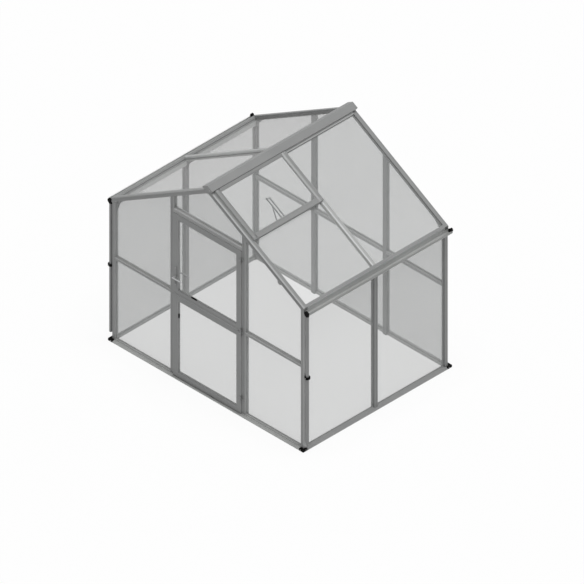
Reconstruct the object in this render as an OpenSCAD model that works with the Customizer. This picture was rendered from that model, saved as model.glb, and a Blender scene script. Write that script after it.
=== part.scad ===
// Small glass greenhouse with a gable roof: slotted aluminium bars hold single glass panes, a split
// door swings in the front gable, and a roof vent lies on the right slope.
// X runs across the gable, Y from the door to the back, Z up. Origin on the ground at mid plan.

/* [Overall size] */
// Width over the base, across the gable
base_w = 2730; // [2500:10:3100]
// Depth over the base, along the eaves
base_d = 2080; // [1800:10:2600]
// Height at which the roof plane meets the side walls
eave_h = 1720; // [1640:10:1840]
// Height of the top of the ridge
ridge_h = 2540; // [2480:10:2760]

/* [Base] */
// Projection of the base in front of the gable walls
end_step = 30; // [20:1:45]
// Projection of the base outside the side walls
side_step = 20; // [12:1:32]
// Height of the sills
sill_h = 34; // [31:1:50]
// Height of the flange at the foot of the sills, also the door threshold
foot_h = 12; // [8:0.5:13]
// Length of each leg of the corner shoes
shoe_l = 60; // [45:1:90]
// Height of the corner shoes
shoe_h = 26; // [18:1:36]

/* [Bars] */
// Depth of the frame bars, square to the glass
bar_d = 50; // [44:1:60]
// Face width of mullions, door posts and middle rafters
bar_w = 48; // [40:1:60]
// Face width of the corner posts
post_w = 44; // [40:1:60]
// Chamfer on the outer edge of the corner posts
corner_cut = 10; // [6:1:14]
// Face height of the gable rafters
rafter_h = 47; // [42:1:60]
// Face height of the horizontal wall rails
rail_h = 32; // [28:1:44]
// Height of the wall rails and of the split between the door leaves
rail_z = 1003; // [900:1:1100]

/* [Glass] */
// Thickness of the panes
glass_t = 4; // [3:0.5:6]
// Depth of the glass behind the outer face of the bars
glass_setback = 24; // [18:1:30]
// Depth of the glazing slots
slot_d = 10; // [8:0.5:12]

/* [Roof] */
// Length of each leg of the ridge cap, down the slope
ridge_leg = 82; // [70:1:110]
// Vertical thickness of the ridge cap
cap_rise = 40; // [32:1:46]
// Width of the ridge beam on each slope
ridge_beam_w = 84; // [76:1:120]
// Width of the eave beam on the slope
eave_lap = 30; // [22:1:40]
// Height of the eave beam
eave_beam_h = 84; // [76:1:110]
// Leg length of the plates that brace the rafter feet
gusset_l = 115; // [70:1:140]
// Thickness of the brace plates
gusset_t = 4; // [3:0.5:6]

/* [Gutters and downpipes] */
// Outer radius of the half-round gutters
gutter_r = 29; // [24:1:36]
// Wall thickness of the gutters
gutter_wall = 2.5; // [2:0.5:4]
// Drop of the gutter axis below the eave
gutter_drop = 54; // [50:1:60]
// Height of the gutter walls above the axis
gutter_rise = 14; // [8:1:18]
// Radius of the bead along the gutter lip
bead_r = 4; // [3:0.5:5]
// Thickness of the rear end caps
end_cap_t = 8; // [5:1:14]
// Outer radius of the downpipes
pipe_r = 16; // [14:0.5:18]
// Wall thickness of the downpipes
pipe_wall = 2; // [1.5:0.5:3]
// Height of the open lower end of the downpipes
pipe_end_z = 80; // [60:1:140]
// Height of the pipe clips
clip_z = 890; // [700:10:1200]
// Length of the pipe clips
clip_h = 22; // [16:1:40]

/* [Door] */
// Distance between the axes of the door posts
door_bay = 1000; // [900:5:1100]
// Clear gap round the door leaves
leaf_gap = 6; // [5:0.5:9]
// Depth of the door leaves
leaf_d = 30; // [26:1:38]
// Distance the leaves stand in front of the posts
leaf_proud = 8; // [4:1:14]
// Face width of the leaf stiles
stile_w = 63; // [50:1:80]
// Face height of the leaf rails
leaf_rail_h = 60; // [45:1:75]
// Height of the top of the door between eave and ridge
door_rise_share = 0.31; // [0.2:0.01:0.34]
// Face height of the door head
head_h = 46; // [36:1:56]
// Radius of the hinge knuckles
knuckle_r = 8; // [7:0.5:10]
// Radius of the hinge pins
pin_r = 4; // [3:0.5:5]
// Length of one hinge knuckle
knuckle_l = 26; // [20:1:36]

/* [Handle] */
// Height of the lever axis
handle_z = 1230; // [1180:5:1350]
// Length of the lever
lever_l = 108; // [80:1:130]
// Radius of the lever bar
lever_r = 7; // [6:0.5:9]
// Distance of the lever axis from the handle plate
lever_stand = 40; // [32:1:50]
// Height of the handle plates
plate_h = 236; // [180:1:260]
// Width of the handle plates
plate_w = 30; // [26:1:36]

/* [Roof vent] */
// Distance from the apex to the lower edge of the vent, down the slope
vent_reach = 695; // [600:5:850]
// Face width of the vent stiles and bottom rail
vent_bar_w = 52; // [44:1:66]
// Face width of the vent's top rail
vent_head_w = 30; // [24:1:44]
// Height of the vent frame bars
vent_bar_h = 26; // [22:1:34]
// Strip of the gable rafter left bare beside the vent
vent_inset = 38; // [26:1:42]
// Length of the opener arms
opener_l = 255; // [220:5:340]

/* [Hidden] */

// Colours
alu = [0.56, 0.57, 0.57];
black = [0.05, 0.05, 0.05];
steel = [0.75, 0.76, 0.77];
pane_tint = [0.80, 0.85, 0.85, 0.45];

// One overrun serves all cuts
overrun = 20;
// Play of a pane between the cheeks of its slot
seat_gap = 0.25;
// Play of a pane edge above the bottom of its slot
edge_play = 2;
// How far a pane reaches into its slot
bite = slot_d - edge_play;
// Width of the slots that hold the panes
slot_w = glass_t + 2 * seat_gap;
// Chamfer on the long edges of the bars
edge_cut = 2.5;
// Shallow groove down the face of the bars
groove_w = 10;
groove_d = 2;
// Running clearance round pins and the lever spindle
run_gap = 0.05;
// End play between hinge knuckles
knuckle_play = 0.5;
// Half of the joint line between the two rafters of a gable
apex_gap = 0.3;
// Joint line where a bar ends against a sloping face
joint_gap = 0.05;
// Thickness of the seal under the ridge cap and the vent frame
roof_seat = 0.1;
// How far the legs of the ridge cap overhang their feet
cap_overhang = 4;
// Thickness of the plates on the ends of the ridge
ridge_end_t = 8;
// Chamfers along the tops of the roof bars
rafter_cut_w = 16;
rafter_cut_d = 6;
roof_cut_w = 12;
roof_cut_d = 5;

// Plan and slope
half_w = base_w / 2;
half_d = base_d / 2;
wall_x = half_w - side_step;
wall_y = half_d - end_step;
apex_h = ridge_h - cap_rise;
pitch = atan2(apex_h - eave_h, wall_x);
slope_l = wall_x / cos(pitch);
rafter_drop = rafter_h / cos(pitch);
// Edge of the ridge cap, down the slope from the apex
cap_edge = ridge_leg - cap_rise * sin(pitch);
inner_y = wall_y - bar_d;
post_in_x = wall_x - post_w;
door_x = door_bay / 2;
door_in_x = door_x - bar_w / 2;
door_out_x = door_x + bar_w / 2;
eave_under_z = eave_h - eave_beam_h;
glass_y = wall_y - glass_setback;
glass_x = wall_x - glass_setback;
// Depth of the sills, up to the lip behind the glass
sill_lip = 6;
sill_d = glass_setback + glass_t + sill_lip;
// Inner lower edge of the eave beam's joint face
eave_in_x = wall_x - eave_lap * cos(pitch) - bar_d * sin(pitch);
eave_in_z = eave_h + eave_lap * sin(pitch) - bar_d * cos(pitch);

// Shape of the sills: ledge and bead of the gable sills, bead of the side sills
ledge_share = 0.6;
ledge_rise = 5;
bead_h = 12;
side_bead_w = 6;

// Gutter and pipe places
gutter_x = wall_x + gutter_r;
gutter_z = eave_h - gutter_drop;
outlet_wall = 3;
outlet_cap_t = 16;
gutter_front = wall_y - outlet_cap_t;
pipe_y = wall_y - pipe_r - outlet_wall;
spout_l = 6;
pipe_top_z = gutter_z - gutter_r - spout_l / 2;
clip_wall = 14;

// Door places
leaf_top = eave_h + (ridge_h - eave_h) * door_rise_share;
leaf_y = wall_y + leaf_proud;
leaf_x = door_in_x - leaf_gap;
leaf_bottom = foot_h + leaf_gap;
lower_top = rail_z - leaf_gap / 2;
upper_bottom = rail_z + leaf_gap / 2;
head_z = leaf_top + leaf_gap;
hinge_plate_t = 3;
hinge_plate_w = 30;
hinge_x = door_in_x - leaf_gap / 2;
hinge_stand = 1;
low_hinge_up = 172;
top_hinge_down = 89;
hinge_y = leaf_y + knuckle_r + hinge_stand;
hinge_low_z = leaf_bottom + low_hinge_up;
hinge_top_z = leaf_top - top_hinge_down;
// Distance between the lever axis and the outer edge of its stile
backset_share = 0.5;
handle_x = -leaf_x + stile_w * backset_share;
plate_t = 5;
spindle_r = 8;
spindle_play = 3;
catch_l = 48;
catch_w = 12;
grip_set = 3;
latch_l = 70;
latch_up = 14;
catch_drop = 216;
latch_in = 245;

// Vent places
vent_top = cap_edge + edge_play;
vent_y0 = -wall_y + vent_inset;
vent_y1 = -edge_play;
vent_sill_w = bar_w;
vent_sill_x = vent_reach - vent_bar_w / 2 - vent_sill_w / 2;
vent_bead_w = 20;
vent_bead_drop = 8;
vent_slot_z = (vent_bar_h - vent_bead_drop - slot_w) / 2;
arm_w = 16;
arm_t = 5;
arm_pitch = 34;
strut_reach = 80;
strut_up_share = 0.7;
opener_r = 8;

function outer_z(x) = apex_h - abs(x) * tan(pitch);
function under_z(x) = outer_z(x) - rafter_drop;
function pane_top(x) = under_z(x) + bite / cos(pitch);

// Helpers

module along_y(y0, y1) { translate([0, y1, 0]) rotate([90, 0, 0]) linear_extrude(y1 - y0) children(); }
module along_x(x0, x1) { translate([x0, 0, 0]) rotate([90, 0, 90]) linear_extrude(x1 - x0) children(); }
module both_x() { children(); mirror([1, 0, 0]) children(); }
module both_y() { children(); mirror([0, 1, 0]) children(); }
// Slope frame: x down the right slope from the apex, y or z square to the roof
module slope_2d() { translate([0, apex_h]) rotate(-pitch) children(); }
module on_slope() { translate([0, 0, apex_h]) rotate([0, pitch, 0]) children(); }
module block(a, b) { translate(a) cube(b - a); }

// Wall bar in plan: outer face on y = 0, slots in both sides
module bar_section(w) {
    difference() {
        polygon([[-w / 2 + edge_cut, 0], [w / 2 - edge_cut, 0], [w / 2, edge_cut], [w / 2, bar_d],
            [-w / 2, bar_d], [-w / 2, edge_cut]]);
        translate([-groove_w / 2, -overrun]) square([groove_w, overrun + groove_d]);
        for (m = [0, 1]) mirror([m, 0])
            translate([w / 2 - slot_d, glass_setback - seat_gap]) square([slot_d + overrun, slot_w]);
    }
}

// Everything below the undersides of the gable rafters
module below_rafters() {
    reach = wall_x + overrun;
    along_y(-half_d, half_d) polygon([[-reach, 0], [reach, 0], [reach, under_z(reach) - joint_gap],
        [0, under_z(0) - joint_gap], [-reach, under_z(reach) - joint_gap]]);
}

module wall_bar(x, w) {
    intersection() {
        translate([x, -wall_y, 0]) linear_extrude(ridge_h) bar_section(w);
        below_rafters();
    }
}

module wall_rail(x0, x1, z, h) {
    translate([x0, -wall_y, z]) rotate([0, 90, 0]) linear_extrude(x1 - x0) bar_section(h);
}

// Corner post in plan, outer corner at the origin, body towards -x and +y
module post_outline() {
    polygon([[-post_w, 0], [-corner_cut, 0], [0, corner_cut], [0, bar_d], [-post_w, bar_d]]);
}

module post_section() {
    difference() {
        post_outline();
        translate([-post_w - overrun, glass_setback - seat_gap]) square([slot_d + overrun, slot_w]);
        translate([-glass_setback - glass_t - seat_gap, bar_d - slot_d]) square([slot_w, slot_d + overrun]);
    }
}

module at_front_right() { translate([wall_x, -wall_y, 0]) children(); }

module front_right_post() {
    intersection() {
        at_front_right() linear_extrude(ridge_h) post_section();
        below_rafters();
    }
}

module post_space() {
    both_x() both_y() at_front_right() translate([0, 0, -overrun]) linear_extrude(ridge_h) post_outline();
}

// Square seat of the posts in the sills
module post_seat() {
    both_x() both_y() at_front_right() block([-post_w, 0, -overrun], [0, bar_d, ridge_h]);
}

// Base

module shoe_blank() {
    block([half_w - shoe_l, -half_d, 0], [half_w, -half_d + shoe_l, shoe_h]);
}

module shoe_space() { both_x() both_y() shoe_blank(); }

module corner_shoes() {
    color(black) both_x() both_y() difference() {
        shoe_blank();
        post_space();
    }
}

// Gable sill section: x is the way out from the wall face, y is up
module end_sill_section() {
    difference() {
        polygon([[-sill_d, 0], [end_step, 0], [end_step, foot_h],
            [end_step * ledge_share, foot_h + ledge_rise], [0, sill_h - bead_h], [0, sill_h], [-sill_d, sill_h]]);
        translate([-glass_setback - glass_t - seat_gap, sill_h - slot_d]) square([slot_w, slot_d + overrun]);
    }
}

module end_sill() {
    difference() {
        mirror([0, 1, 0]) translate([0, wall_y, 0]) along_x(-wall_x, wall_x) end_sill_section();
        post_seat();
        shoe_space();
    }
}

module upright_space(x) {
    block([x - bar_w / 2, -wall_y, -overrun], [x + bar_w / 2, -inner_y, sill_h + overrun]);
}

module front_sill() {
    color(alu) difference() {
        end_sill();
        both_x() upright_space(door_x);
        block([-door_in_x, -half_d - overrun, foot_h], [door_in_x, -inner_y + overrun, sill_h + overrun]);
    }
}

module back_sill() {
    color(alu) mirror([0, 1, 0]) difference() {
        end_sill();
        both_x() upright_space(door_x);
    }
}

module side_sill_section() {
    polygon([[-sill_d, 0], [side_step, 0], [side_step, foot_h],
        [-glass_setback + side_bead_w, sill_h], [-sill_d, sill_h]]);
}

module side_sill_body() {
    translate([wall_x, 0, 0]) along_y(-wall_y, wall_y) side_sill_section();
}

module side_sills() {
    color(alu) both_x() difference() {
        side_sill_body();
        post_seat();
        shoe_space();
        block([glass_x - glass_t - seat_gap, -half_d, sill_h - slot_d],
            [glass_x + seat_gap, half_d, sill_h + overrun]);
    }
}

// Uprights and rails

module front_posts() { color(alu) both_x() front_right_post(); }
module back_posts() { color(alu) mirror([0, 1, 0]) both_x() front_right_post(); }
module door_posts() { color(alu) both_x() wall_bar(door_x, bar_w); }
module back_mullions() { color(alu) mirror([0, 1, 0]) both_x() wall_bar(door_x, bar_w); }
module door_head() { color(alu) wall_rail(-door_in_x, door_in_x, head_z + head_h / 2, head_h); }
module front_rails() { color(alu) both_x() wall_rail(door_out_x, post_in_x, rail_z, rail_h); }

module back_rails() {
    color(alu) mirror([0, 1, 0]) {
        both_x() wall_rail(door_out_x, post_in_x, rail_z, rail_h);
        wall_rail(-door_in_x, door_in_x, rail_z, rail_h);
    }
}

module side_mullions() {
    color(alu) both_x() difference() {
        translate([wall_x, 0, 0]) rotate([0, 0, 90]) linear_extrude(eave_under_z) bar_section(bar_w);
        side_sill_body();
    }
}

// Eaves

module eave_section() {
    difference() {
        polygon([[wall_x, eave_h], [wall_x, eave_under_z], [eave_in_x, eave_under_z], [eave_in_x, eave_in_z],
            [wall_x - eave_lap * cos(pitch), eave_h + eave_lap * sin(pitch)]]);
        slope_2d() translate([slope_l - eave_lap - overrun, -glass_setback - glass_t - seat_gap])
            square([slot_d + overrun, slot_w]);
        translate([glass_x - glass_t - seat_gap, eave_under_z - overrun]) square([slot_w, slot_d + overrun]);
    }
}

module eave_beams() { color(alu) both_x() along_y(-inner_y, inner_y) eave_section(); }

module gutter_section() {
    translate([gutter_x, gutter_z]) {
        difference() {
            union() {
                circle(gutter_r, $fn = 64);
                translate([-gutter_r, 0]) square([2 * gutter_r, gutter_rise]);
            }
            circle(gutter_r - gutter_wall, $fn = 64);
            translate([-gutter_r + gutter_wall, 0])
                square([2 * (gutter_r - gutter_wall), gutter_r + overrun]);
        }
        translate([gutter_r - bead_r / 2, gutter_rise]) circle(bead_r, $fn = 32);
    }
}

// Bore of the spout and of the hole above it in the gutter
module spout_bore() {
    translate([gutter_x, -pipe_y, gutter_z - gutter_r - spout_l])
        cylinder(h = spout_l + gutter_r / 2, r = pipe_r - pipe_wall, $fn = 48);
}

module gutter() {
    difference() {
        along_y(-gutter_front, wall_y - end_cap_t) gutter_section();
        spout_bore();
    }
}

module right_gutter() { color(alu) gutter(); }
module left_gutter() { color(alu) mirror([1, 0, 0]) gutter(); }

module gutter_end_caps() {
    color(black) both_x() along_y(wall_y - end_cap_t, wall_y)
        translate([gutter_x, gutter_z]) circle(gutter_r - seat_gap, $fn = 64);
}

// Closed round end of the gutter with a spout below that takes the downpipe
module gutter_outlets() {
    color(black) both_x() difference() {
        union() {
            along_y(-wall_y, -gutter_front)
                translate([gutter_x, gutter_z]) circle(gutter_r - seat_gap, $fn = 64);
            translate([gutter_x, -pipe_y, gutter_z - gutter_r - spout_l])
                cylinder(h = spout_l + gutter_r, r = pipe_r + outlet_wall, $fn = 48);
        }
        along_y(-gutter_front, 0) translate([gutter_x, gutter_z]) circle(gutter_r + seat_gap, $fn = 64);
        translate([gutter_x, -pipe_y, gutter_z - gutter_r - spout_l - overrun])
            cylinder(h = spout_l / 2 + overrun, r = pipe_r + seat_gap, $fn = 48);
        spout_bore();
    }
}

module downpipes() {
    color(alu) both_x() translate([gutter_x, -pipe_y, pipe_end_z]) difference() {
        cylinder(h = pipe_top_z - pipe_end_z, r = pipe_r, $fn = 48);
        translate([0, 0, -overrun])
            cylinder(h = pipe_top_z - pipe_end_z + 2 * overrun, r = pipe_r - pipe_wall, $fn = 48);
    }
}

module pipe_clips() {
    color(black) both_x() translate([0, 0, clip_z - clip_h / 2]) difference() {
        translate([gutter_x, -pipe_y, 0]) cylinder(h = clip_h, r = pipe_r + clip_wall, $fn = 48);
        block([0, -half_d - overrun, -overrun], [wall_x, 0, clip_h + overrun]);
        translate([gutter_x, -pipe_y, -overrun])
            cylinder(h = clip_h + 2 * overrun, r = pipe_r + seat_gap, $fn = 48);
    }
}

// Roof frame

module front_right_rafter() {
    difference() {
        along_y(-wall_y, -inner_y) polygon([[apex_gap, outer_z(apex_gap)], [wall_x, outer_z(wall_x)],
            [wall_x, under_z(wall_x)], [apex_gap, under_z(apex_gap)]]);
        along_y(-glass_y - seat_gap, -glass_y + glass_t + seat_gap) slope_2d()
            translate([-slope_l, -rafter_h - overrun]) square([3 * slope_l, slot_d + overrun]);
        along_y(-inner_y - slot_d, -inner_y + overrun) slope_2d()
            translate([-slope_l, -glass_setback - glass_t - seat_gap]) square([3 * slope_l, slot_w]);
        along_y(-wall_y - overrun, -wall_y + groove_d) slope_2d()
            translate([-slope_l, -rafter_h / 2 - groove_w / 2]) square([3 * slope_l, groove_w]);
        on_slope() translate([-slope_l, -wall_y, 0]) rotate([90, 0, 90]) linear_extrude(3 * slope_l)
            polygon([[-overrun, -rafter_cut_d], [0, -rafter_cut_d], [rafter_cut_w, 0], [rafter_cut_w, overrun],
                [-overrun, overrun]]);
    }
}

module front_rafters() { color(alu) both_x() front_right_rafter(); }
module back_rafters() { color(alu) mirror([0, 1, 0]) both_x() front_right_rafter(); }

// Middle rafter across the slope: top face on y = 0, chamfered edges, slots in both sides
module roof_bar_section() {
    difference() {
        polygon([[-bar_w / 2 + roof_cut_w, 0], [bar_w / 2 - roof_cut_w, 0], [bar_w / 2, -roof_cut_d],
            [bar_w / 2, -bar_d], [-bar_w / 2, -bar_d], [-bar_w / 2, -roof_cut_d]]);
        for (m = [0, 1]) mirror([m, 0])
            translate([bar_w / 2 - slot_d, -glass_setback - glass_t - seat_gap])
                square([slot_d + overrun, slot_w]);
    }
}

module middle_rafters() {
    color(alu) both_x() on_slope() translate([ridge_beam_w + joint_gap, 0, 0]) rotate([90, 0, 90])
        linear_extrude(slope_l - eave_lap - ridge_beam_w - 2 * joint_gap) roof_bar_section();
}

module ridge_half_section() {
    difference() {
        polygon([[0, apex_h], [ridge_beam_w * cos(pitch), apex_h - ridge_beam_w * sin(pitch)],
            [ridge_beam_w * cos(pitch) - bar_d * sin(pitch),
                apex_h - ridge_beam_w * sin(pitch) - bar_d * cos(pitch)],
            [0, apex_h - ridge_beam_w * sin(pitch) - bar_d * cos(pitch)]]);
        slope_2d() translate([ridge_beam_w - slot_d, -glass_setback - glass_t - seat_gap])
            square([slot_d + overrun, slot_w]);
    }
}

module ridge_beam() {
    color(alu) along_y(-inner_y, inner_y) {
        ridge_half_section();
        mirror([1, 0]) ridge_half_section();
    }
}

module ridge_cap() {
    leg_x = ridge_leg * cos(pitch);
    leg_z = outer_z(leg_x);
    foot_x = (cap_edge - cap_overhang) * cos(pitch);
    foot_z = outer_z(foot_x) + roof_seat;
    color(alu) along_y(-wall_y, wall_y) polygon([[0, apex_h + roof_seat], [foot_x, foot_z],
        [leg_x, leg_z + cap_rise], [0, ridge_h], [-leg_x, leg_z + cap_rise], [-foot_x, foot_z]]);
}

// Plates that close the ridge cap and cover the joint of the gable rafters
module ridge_ends() {
    leg_x = ridge_leg * cos(pitch);
    leg_z = outer_z(leg_x) + cap_rise;
    color(alu) both_y() along_y(-wall_y - ridge_end_t, -wall_y)
        polygon([[0, under_z(0)], [leg_x, leg_z], [0, ridge_h], [-leg_x, leg_z]]);
}

// Brace plate in x and z: corner at the origin, one leg down, one leg up the slope, both tapering
module gusset_outline() {
    foot = [0, -gusset_l];
    head = [-gusset_l * cos(pitch), gusset_l * sin(pitch)];
    knee_share = 0.34;
    polygon([[0, 0], foot, (foot + head) * knee_share, head]);
}

module eave_gussets() {
    mid_x = min(eave_in_x, wall_x - bar_d);
    mid_z = eave_in_z + (eave_in_x - mid_x) * tan(pitch);
    color(alu) both_x() {
        both_y() along_y(-inner_y - gusset_t, -inner_y)
            translate([post_in_x, under_z(post_in_x)]) gusset_outline();
        along_y(-gusset_t / 2, gusset_t / 2) translate([mid_x, mid_z]) gusset_outline();
    }
}

// Glass

module gable_pane(points) {
    along_y(-glass_y, -glass_y + glass_t) polygon(points);
}

module side_panel_panes() {
    x0 = door_out_x - bite;
    x1 = post_in_x + bite;
    low = rail_z + rail_h / 2 - bite;
    gable_pane([[x0, sill_h - bite], [x1, sill_h - bite], [x1, rail_z - rail_h / 2 + bite],
        [x0, rail_z - rail_h / 2 + bite]]);
    gable_pane([[x0, low], [x1, low], [x1, pane_top(x1)], [x0, pane_top(x0)]]);
}

module middle_top_pane(low) {
    x = door_in_x + bite;
    gable_pane([[-x, low], [x, low], [x, pane_top(x)], [0, pane_top(0)], [-x, pane_top(x)]]);
}

module front_glass() {
    color(pane_tint) {
        both_x() side_panel_panes();
        middle_top_pane(head_z + head_h - bite);
    }
}

module back_glass() {
    x = door_in_x + bite;
    color(pane_tint) mirror([0, 1, 0]) {
        both_x() side_panel_panes();
        gable_pane([[-x, sill_h - bite], [x, sill_h - bite], [x, rail_z - rail_h / 2 + bite],
            [-x, rail_z - rail_h / 2 + bite]]);
        middle_top_pane(rail_z + rail_h / 2 - bite);
    }
}

module side_glass() {
    color(pane_tint) both_x() both_y()
        block([glass_x - glass_t, -inner_y - bite, sill_h - bite],
            [glass_x, -bar_w / 2 + bite, eave_under_z + bite]);
}

module roof_pane(x0, x1) {
    on_slope() block([x0, -inner_y - bite, -glass_setback - glass_t], [x1, -bar_w / 2 + bite, -glass_setback]);
}

module left_roof_glass() {
    color(pane_tint) mirror([1, 0, 0]) both_y()
        roof_pane(ridge_beam_w - bite, slope_l - eave_lap + bite);
}

module right_roof_glass() {
    color(pane_tint) {
        mirror([0, 1, 0]) roof_pane(ridge_beam_w - bite, slope_l - eave_lap + bite);
        roof_pane(vent_sill_x + vent_sill_w - bite, slope_l - eave_lap + bite);
    }
}

// Roof vent

module vent_sill() {
    color(alu) on_slope() difference() {
        block([vent_sill_x, -inner_y, -bar_d], [vent_sill_x + vent_sill_w, -bar_w / 2, 0]);
        block([vent_sill_x + vent_sill_w - slot_d, -wall_y, -glass_setback - glass_t - seat_gap],
            [vent_sill_x + vent_sill_w + overrun, overrun, -glass_setback + seat_gap]);
    }
}

// Slot all round the inside of the vent frame
module vent_slot() {
    block([vent_top + vent_head_w - slot_d, vent_y0 + vent_bar_w - slot_d, vent_slot_z],
        [vent_reach - vent_bar_w + slot_d, vent_y1 - vent_bar_w + slot_d, vent_slot_z + slot_w]);
}

// Vent bar across its length: outer edge on x = 0, sloping bead along the inner edge
module vent_bar_section(w) {
    polygon([[0, roof_seat], [w, roof_seat], [w, vent_bar_h - vent_bead_drop],
        [w - vent_bead_w, vent_bar_h], [0, vent_bar_h]]);
}

module vent_rails() {
    color(alu) on_slope() difference() {
        union() {
            translate([vent_top, 0, 0]) along_y(vent_y0 + vent_bar_w, vent_y1 - vent_bar_w)
                vent_bar_section(vent_head_w);
            translate([vent_reach, 0, 0]) along_y(vent_y0 + vent_bar_w, vent_y1 - vent_bar_w)
                mirror([1, 0]) vent_bar_section(vent_bar_w);
        }
        vent_slot();
    }
}

module vent_stiles() {
    color(alu) on_slope() difference() {
        union() {
            translate([0, vent_y0, 0]) along_x(vent_top, vent_reach) vent_bar_section(vent_bar_w);
            translate([0, vent_y1, 0]) along_x(vent_top, vent_reach) mirror([1, 0]) vent_bar_section(vent_bar_w);
        }
        vent_slot();
    }
}

module vent_glass() {
    inset = vent_bar_w - bite;
    color(pane_tint) on_slope() block([vent_top + vent_head_w - bite, vent_y0 + inset, vent_slot_z + seat_gap],
        [vent_reach - inset, vent_y1 - inset, vent_slot_z + seat_gap + glass_t]);
}

// Opener: a cylinder and a flat arm run up the slope from the vent sill to a cross pin, and a strut
// braces the arm
module vent_opener() {
    mid_y = (vent_y0 + vent_y1) / 2;
    rise = (opener_l - arm_t) * strut_up_share;
    color(steel) on_slope() translate([vent_sill_x, mid_y, -bar_d / 2]) {
        block([-arm_t, -arm_pitch - strut_reach, -arm_w], [0, arm_pitch, arm_w]);
        translate([-opener_l, arm_pitch / 2, 0]) rotate([0, 90, 0])
            cylinder(h = opener_l - arm_t, r = opener_r, $fn = 32);
        block([-opener_l - arm_w, -arm_pitch / 2 - arm_t, -arm_w / 2], [-arm_t, -arm_pitch / 2, arm_w / 2]);
        translate([-opener_l, -arm_pitch / 2 - arm_t - arm_w / 2, 0]) rotate([-90, 0, 0])
            cylinder(h = arm_pitch + arm_t + arm_w, r = arm_t, $fn = 24);
        translate([-arm_t, -arm_pitch / 2 - strut_reach, 0]) rotate([0, 0, 180 - atan2(strut_reach, rise)])
            block([0, -arm_t, -arm_w / 2], [sqrt(rise * rise + strut_reach * strut_reach), 0, arm_w / 2]);
    }
}

// Door hinges: pins on the post, rings on the leaves

module hinge_post_knuckle(z, pin_down, pin_up) {
    translate([hinge_x, -hinge_y, z]) {
        translate([0, 0, -knuckle_l / 2]) cylinder(h = knuckle_l, r = knuckle_r, $fn = 32);
        translate([0, 0, -knuckle_l / 2 - pin_down])
            cylinder(h = knuckle_l + pin_down + pin_up, r = pin_r, $fn = 32);
    }
    block([hinge_x, -hinge_y, z - knuckle_l / 2],
        [hinge_x + knuckle_r, -wall_y, z + knuckle_l / 2]);
    block([hinge_x + leaf_gap / 2, -wall_y - hinge_plate_t, z - knuckle_l / 2],
        [hinge_x + hinge_plate_w, -wall_y, z + knuckle_l / 2]);
}

module post_hinges() {
    color(steel) {
        hinge_post_knuckle(hinge_low_z, 0, knuckle_l);
        hinge_post_knuckle(rail_z, knuckle_l, knuckle_l);
        hinge_post_knuckle(hinge_top_z, knuckle_l, 0);
    }
}

// Ring and plate of one leaf hinge, from z upwards
module hinge_leaf_knuckle(z) {
    difference() {
        union() {
            translate([hinge_x, -hinge_y, z]) cylinder(h = knuckle_l, r = knuckle_r, $fn = 32);
            block([hinge_x - hinge_plate_w, -leaf_y - hinge_plate_t, z], [hinge_x, -leaf_y, z + knuckle_l]);
        }
        translate([hinge_x, -hinge_y, z - overrun])
            cylinder(h = knuckle_l + 2 * overrun, r = pin_r + run_gap, $fn = 32);
    }
}

module lower_leaf_hinges() {
    color(steel) {
        hinge_leaf_knuckle(hinge_low_z + knuckle_l / 2 + knuckle_play);
        hinge_leaf_knuckle(rail_z - knuckle_l * 1.5 - knuckle_play);
    }
}

module upper_leaf_hinges() {
    color(steel) {
        hinge_leaf_knuckle(rail_z + knuckle_l / 2 + knuckle_play);
        hinge_leaf_knuckle(hinge_top_z - knuckle_l * 1.5 - knuckle_play);
    }
}

// Door leaves: stiles run through, rails fit between them, glass sits in their slots

module leaf_glass_space(z0, z1, reach, t) {
    y = -leaf_y + (leaf_d - t) / 2;
    block([-leaf_x + stile_w - reach, y, z0 + leaf_rail_h - reach],
        [leaf_x - stile_w + reach, y + t, z1 - leaf_rail_h + reach]);
}

module leaf_stiles(z0, z1) {
    color(alu) difference() {
        both_x() block([leaf_x - stile_w, -leaf_y, z0], [leaf_x, -leaf_y + leaf_d, z1]);
        leaf_glass_space(z0, z1, slot_d, slot_w);
        spindle_space(spindle_r + spindle_play);
    }
}

module leaf_rails(z0, z1) {
    color(alu) for (z = [z0, z1 - leaf_rail_h]) difference() {
        block([-leaf_x + stile_w, -leaf_y, z], [leaf_x - stile_w, -leaf_y + leaf_d, z + leaf_rail_h]);
        leaf_glass_space(z0, z1, slot_d, slot_w);
    }
}

module leaf_glass(z0, z1) { color(pane_tint) leaf_glass_space(z0, z1, bite, glass_t); }

module spindle_space(r) {
    translate([handle_x, 0, handle_z]) rotate([90, 0, 0]) cylinder(h = base_d, r = r, $fn = 32);
}

module lower_leaf_stiles() { leaf_stiles(leaf_bottom, lower_top); }
module lower_leaf_rails() { leaf_rails(leaf_bottom, lower_top); }
module lower_leaf_glass() { leaf_glass(leaf_bottom, lower_top); }
module upper_leaf_stiles() { leaf_stiles(upper_bottom, leaf_top); }
module upper_leaf_rails() { leaf_rails(upper_bottom, leaf_top); }
module upper_leaf_glass() { leaf_glass(upper_bottom, leaf_top); }

// Black grips in the reveals in front of the leaf glass
grip_y0 = -leaf_y + grip_set;
grip_y1 = -leaf_y + (leaf_d - slot_w) / 2 - seat_gap;

module lower_leaf_catch() {
    x = -leaf_x + stile_w;
    z = lower_top - catch_drop;
    color(black) block([x, grip_y0, z - catch_l], [x + catch_w, grip_y1, z]);
}

module upper_leaf_latch() {
    x = -leaf_x + latch_in;
    z = upper_bottom + leaf_rail_h;
    color(black) block([x, grip_y0, z], [x + latch_l, grip_y1, z + latch_up]);
}

module handle_plate() {
    along_y(-leaf_y - plate_t, -leaf_y) translate([handle_x, handle_z]) {
        square([plate_w, plate_h - plate_w], center = true);
        for (z = [-1, 1]) translate([0, z * (plate_h - plate_w) / 2]) circle(plate_w / 2, $fn = 32);
    }
}

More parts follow.
